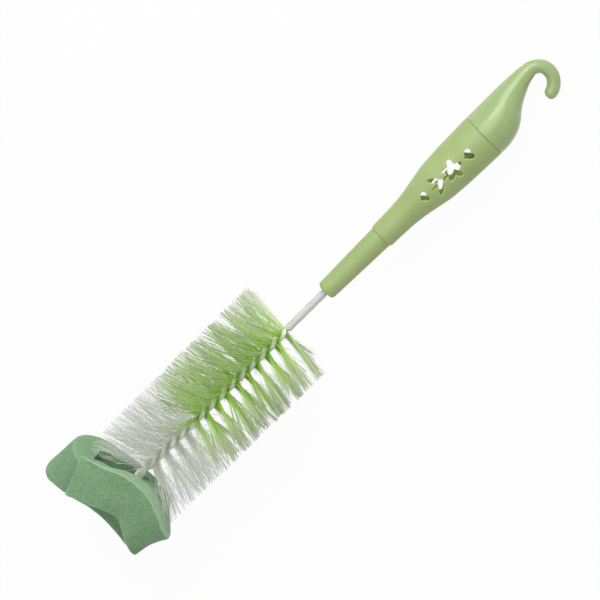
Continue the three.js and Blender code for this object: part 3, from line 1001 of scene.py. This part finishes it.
def foam_sides(count):
    """For each point of the strip, 0 on its broad faces and more on its cut sides and ends: the share of
    the paler, painted-light colour, which also makes the cells shallower.
    """
    edge = FOAM_WIDTH / 2 - SIDE_START * FOAM_EDGE
    outline = foam_outline(FOAM_WIDTH, FOAM_THICKNESS, FOAM_EDGE)
    ring = [1.0 if abs(pair[0]) > edge else 0.0 for pair in outline]
    rows = count // len(ring)
    values = []
    for k in range(count):
        row = k // len(ring)
        at_end = row < len(FOAM_ENDS) or row >= rows - len(FOAM_ENDS)
        fade = clamped((k / count - REAR_END) / (FRONT_START - REAR_END))
        tone = REAR_SIDE_LIGHT + (1 - REAR_SIDE_LIGHT) * fade
        values.append(tone if at_end else tone * ring[k % len(ring)])
    return values


def foam_strip():
    points, faces = skin(foam_rings())
    piece = add_mesh("sponge", points, faces)
    sides = foam_sides(len(points))
    mark(piece, "side", "POINT", sides)
    moves = []
    for vertex, side in zip(piece.data.vertices, sides):
        at = vertex.co / MM
        swell = sum(height * noise.noise(at * waves) for height, waves in SWELLS)
        nearest = noise.voronoi(at / PORE_SPACING)[0][0]
        hole = PORE_DEPTH * (1 - SIDE_FILLED * side) * max(0.0, 1 - nearest / PORE_REACH)
        moves.append(vertex.normal * (swell - hole) * MM)
    for vertex, move in zip(piece.data.vertices, moves):
        vertex.co += move
    return piece


# The dressed pieces
satin = satin_plastic()
sheath_white = white_plastic("sheath_white", "c2c3c4", "d0d1d1")
wire_white = white_plastic("wire_white", "eef2e8", "f6f9f2")
green_fibre = fibre("green_fibre", GREEN_STOPS, dark="a8c074", clear=0.45)
white_fibre = fibre("white_fibre", WHITE_STOPS, dark="e6e6e2", clear=0.68)
green_bristles = bristle_zone("bristles_green", GREEN_START, GREEN_END, **GREEN_ZONE)
white_bristles = bristle_zone("bristles_white", WHITE_START, LAST_ROOT, **WHITE_ZONE)

dress(hook_cap(), "cap", ["hook_cap"], gloss_plastic())
dress(handle_body(), "handle", ["handle_body"], satin)
dress(stem_sleeve(), "head", ["stem_sleeve"], satin)
dress(stem_sheath(), "head", ["stem_sheath"], sheath_white)
dress(wire_strand("wire_a", 1), "head", ["wire_strand_a"], wire_white)
dress(wire_strand("wire_b", -1), "head", ["wire_strand_b"], wire_white)
dress(green_bristles, "head", ["green_bristles"], green_fibre)
dress(white_bristles, "head", ["white_bristles"], white_fibre)
sponge = dress(foam_strip(), "head", ["sponge_strip"], foam(), FOAM_SHARP_ANGLE)
clip = frame["nodes"]["swivel_clip"]
clip.data.materials.clear()
clip.data.materials.append(drawn_steel())


# Camera, at the photograph's angle: its distance in metres, its lens and sensor in millimetres
IMAGE_TURN = math.radians(44.6)
CAMERA_AHEAD = math.radians(10.0)
CAMERA_ASIDE = math.radians(7.0)
CAMERA_DISTANCE = 1.0
CAMERA_LENS = 125.0
CAMERA_SENSOR = 36.0
LOOK_AT = (-11.6, 5.7, 0.0)


def brush_direction(x, y, z):
    """A direction along the brush's axes, in the row frame."""
    return (brush_x * x + brush_y * y + brush_z * z).normalized()


def add_camera():
    ahead = math.sin(CAMERA_AHEAD)
    aside = math.sin(CAMERA_ASIDE)
    toward = brush_direction(ahead, aside, math.sqrt(1.0 - ahead * ahead - aside * aside))
    along = (brush_x - toward * brush_x.dot(toward)).normalized()
    across = toward.cross(along)
    right = along * math.cos(IMAGE_TURN) - across * math.sin(IMAGE_TURN)
    up = along * math.sin(IMAGE_TURN) + across * math.cos(IMAGE_TURN)
    data = bpy.data.cameras.new("camera")
    data.lens = CAMERA_LENS
    data.sensor_width = CAMERA_SENSOR
    data.sensor_fit = "HORIZONTAL"
    camera = bpy.data.objects.new("camera", data)
    turn = Matrix((right, up, toward)).transposed().to_4x4()
    camera.matrix_world = Matrix.Translation(place(*LOOK_AT) + toward * CAMERA_DISTANCE) @ turn
    bpy.context.collection.objects.link(camera)
    bpy.context.scene.camera = camera


# Soft studio light and a white floor, in metres and watts
LIGHT_DISTANCE = 1.2
FLOOR_REACH = 3.0
FLOOR_WHITE = (0.85, 0.85, 0.85, 1)
FLOOR_GLOW = 0.95
WORLD_LIGHT = 0.63
WHITE = (1, 1, 1, 1)


def add_light(name, direction, width, length, power, gloss_only=False):
    """A soft box that faces the brush, from a direction given along the brush's axes."""
    data = bpy.data.lights.new(name, "AREA")
    data.shape = "RECTANGLE"
    data.size = width
    data.size_y = length
    data.energy = power
    lamp = bpy.data.objects.new(name, data)
    toward = brush_direction(*direction)
    lamp.location = place(0, 0, 0) + toward * LIGHT_DISTANCE
    lamp.rotation_euler = toward.to_track_quat("Z", "Y").to_euler()
    lamp.visible_diffuse = not gloss_only
    bpy.context.collection.objects.link(lamp)


def join_numbers(tree, operation, first, second):
    """Two numbers joined by a math node, where the second is a number or a node's output."""
    made = tree.nodes.new("ShaderNodeMath")
    made.operation = operation
    tree.links.new(first, made.inputs[0])
    if isinstance(second, float):
        made.inputs[1].default_value = second
    else:
        tree.links.new(second, made.inputs[1])
    return made.outputs[0]


def seen_directly(tree):
    """1 for rays from the camera and for those in reflections and through clear pieces."""
    path = tree.nodes.new("ShaderNodeLightPath")
    seen = path.outputs["Is Camera Ray"]
    for name in ("Is Glossy Ray", "Is Transmission Ray"):
        seen = join_numbers(tree, "MAXIMUM", seen, path.outputs[name])
    return seen


def add_floor():
    data = bpy.data.meshes.new("floor")
    far = FLOOR_REACH
    corners = [(-far, -far, 0), (far, -far, 0), (far, far, 0), (-far, far, 0)]
    data.from_pydata(corners, [], [(0, 1, 2, 3)])
    floor = bpy.data.objects.new("floor", data)
    bpy.context.collection.objects.link(floor)
    material = bpy.data.materials.new("floor_white")
    material.use_nodes = True
    tree = material.node_tree
    matt = tree.nodes["Principled BSDF"]
    matt.inputs["Base Color"].default_value = FLOOR_WHITE
    matt.inputs["Roughness"].default_value = 1.0
    matt.inputs["Specular IOR Level"].default_value = 0.0
    glow = tree.nodes.new("ShaderNodeEmission")
    glow.inputs["Strength"].default_value = 1.0
    share = join_numbers(tree, "MULTIPLY", seen_directly(tree), FLOOR_GLOW)
    mixed = mix_shaders(tree, share, matt.outputs["BSDF"], glow.outputs["Emission"])
    tree.links.new(mixed, tree.nodes["Material Output"].inputs["Surface"])
    data.materials.append(material)


def add_world():
    world = bpy.data.worlds.new("studio")
    world.use_nodes = True
    tree = world.node_tree
    soft = tree.nodes["Background"]
    soft.inputs["Color"].default_value = WHITE
    soft.inputs["Strength"].default_value = WORLD_LIGHT
    bright = tree.nodes.new("ShaderNodeBackground")
    bright.inputs["Color"].default_value = WHITE
    bright.inputs["Strength"].default_value = 1.0
    shown, lighting = bright.outputs["Background"], soft.outputs["Background"]
    mixed = mix_shaders(tree, seen_directly(tree), lighting, shown)
    tree.links.new(mixed, tree.nodes["World Output"].inputs["Surface"])
    bpy.context.scene.world = world


add_camera()
add_light("key", direction=(0.45, 0.7, 0.6), width=0.7, length=0.9, power=8.0)
add_light("fill", direction=(0.1, 0.5, 0.85), width=0.45, length=1.0, power=1.2)
add_light("streak", direction=(0.1, 0.45, 0.9), width=1.1, length=1.0, power=7.4, gloss_only=True)
add_floor()
add_world()
bpy.context.scene.view_settings.view_transform = "Standard"
